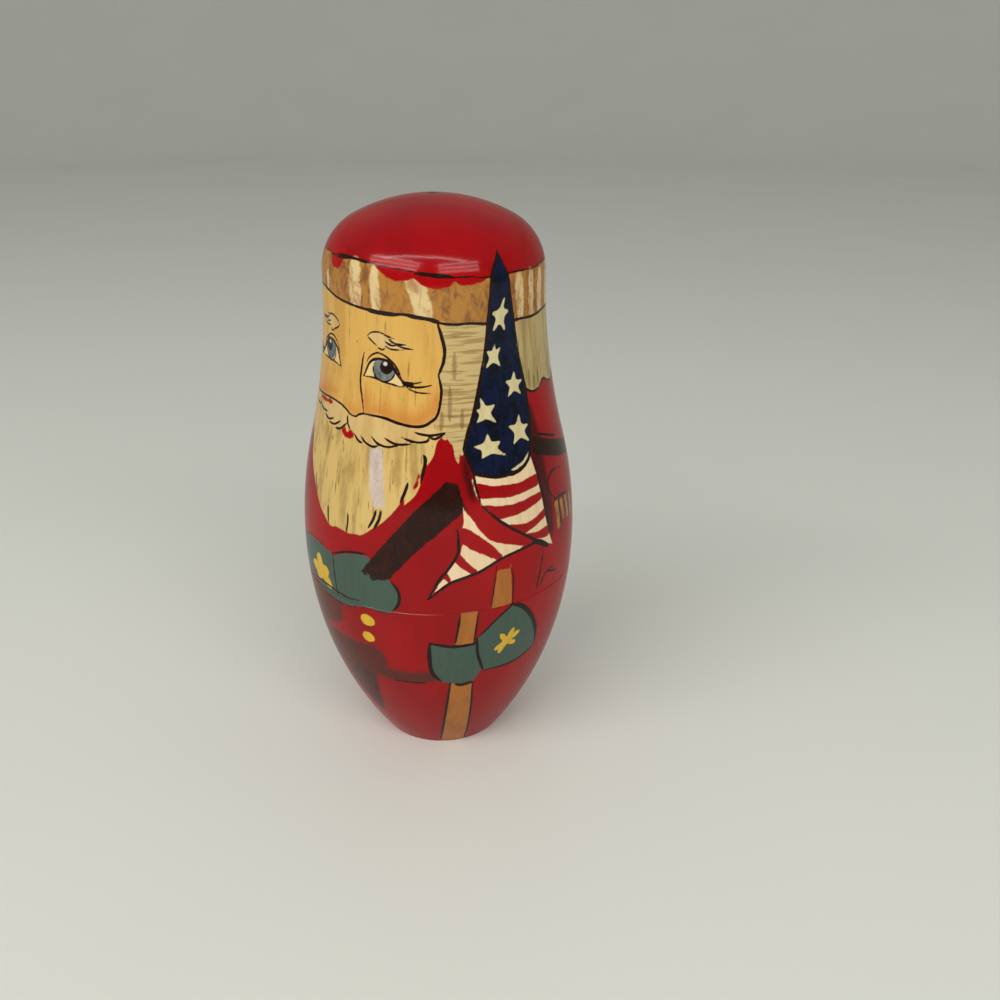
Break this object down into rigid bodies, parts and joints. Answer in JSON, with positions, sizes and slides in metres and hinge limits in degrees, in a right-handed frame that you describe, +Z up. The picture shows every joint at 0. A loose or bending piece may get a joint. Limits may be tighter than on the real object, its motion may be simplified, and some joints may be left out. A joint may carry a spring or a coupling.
{
  "type": "nesting doll",
  "caption": "Turned wooden nesting doll that opens at its waist, painted as a bearded winter figure with a furled flag, with ever smaller dolls inside and a solid one last.",
  "frame": {"origin": "centre of the outer doll's foot, on the surface it stands on", "axes": "+Z up along the turning axis, -Y the way the painted face looks"},
  "size_m": [0.069, 0.069, 0.14],
  "materials": {
    "outer_paint": "painted lime wood under clear gloss varnish, bare wood inside",
    "second_paint": "painted lime wood under clear gloss varnish, bare wood inside",
    "third_paint": "painted lime wood under clear gloss varnish, bare wood inside",
    "fourth_paint": "painted lime wood under clear gloss varnish, bare wood inside",
    "core_paint": "painted lime wood under clear gloss varnish"
  },
  "bodies": {
    "outer_bottom": {"outer_bottom": "outer_paint"},
    "outer_top": {"outer_top": "outer_paint"},
    "second_bottom": {"second_bottom": "second_paint"},
    "second_top": {"second_top": "second_paint"},
    "third_bottom": {"third_bottom": "third_paint"},
    "third_top": {"third_top": "third_paint"},
    "fourth_bottom": {"fourth_bottom": "fourth_paint"},
    "fourth_top": {"fourth_top": "fourth_paint"},
    "core_doll": {"core_doll": "core_paint"}
  },
  "joints": [
    {"name": "outer_top_lift", "type": "slide", "parent": "outer_bottom", "child": "outer_top", "axis": [0, 0, 1], "range_m": [0, 0.4]},
    {"name": "second_top_lift", "type": "slide", "parent": "second_bottom", "child": "second_top", "axis": [0, 0, 1], "range_m": [0, 0.262]},
    {"name": "third_top_lift", "type": "slide", "parent": "third_bottom", "child": "third_top", "axis": [0, 0, 1], "range_m": [0, 0.15]},
    {"name": "fourth_top_lift", "type": "slide", "parent": "fourth_bottom", "child": "fourth_top", "axis": [0, 0, 1], "range_m": [0, 0.063]},
    {"name": "second_doll_lift", "type": "slide", "parent": "outer_bottom", "child": "second_bottom", "axis": [0, 0, 1], "range_m": [0, 0.055]},
    {"name": "third_doll_lift", "type": "slide", "parent": "second_bottom", "child": "third_bottom", "axis": [0, 0, 1], "range_m": [0, 0.046]},
    {"name": "fourth_doll_lift", "type": "slide", "parent": "third_bottom", "child": "fourth_bottom", "axis": [0, 0, 1], "range_m": [0, 0.037]},
    {"name": "core_doll_lift", "type": "slide", "parent": "fourth_bottom", "child": "core_doll", "axis": [0, 0, 1], "range_m": [0, 0.028]}
  ],
  "couplings": [
    {"joint": "second_top_lift", "follows": "outer_top_lift", "ratio": 0.655},
    {"joint": "third_top_lift", "follows": "outer_top_lift", "ratio": 0.375},
    {"joint": "fourth_top_lift", "follows": "outer_top_lift", "ratio": 0.1575},
    {"joint": "second_doll_lift", "follows": "outer_top_lift", "ratio": 0.1375},
    {"joint": "third_doll_lift", "follows": "outer_top_lift", "ratio": 0.115},
    {"joint": "fourth_doll_lift", "follows": "outer_top_lift", "ratio": 0.0925},
    {"joint": "core_doll_lift", "follows": "outer_top_lift", "ratio": 0.07}
  ]
}
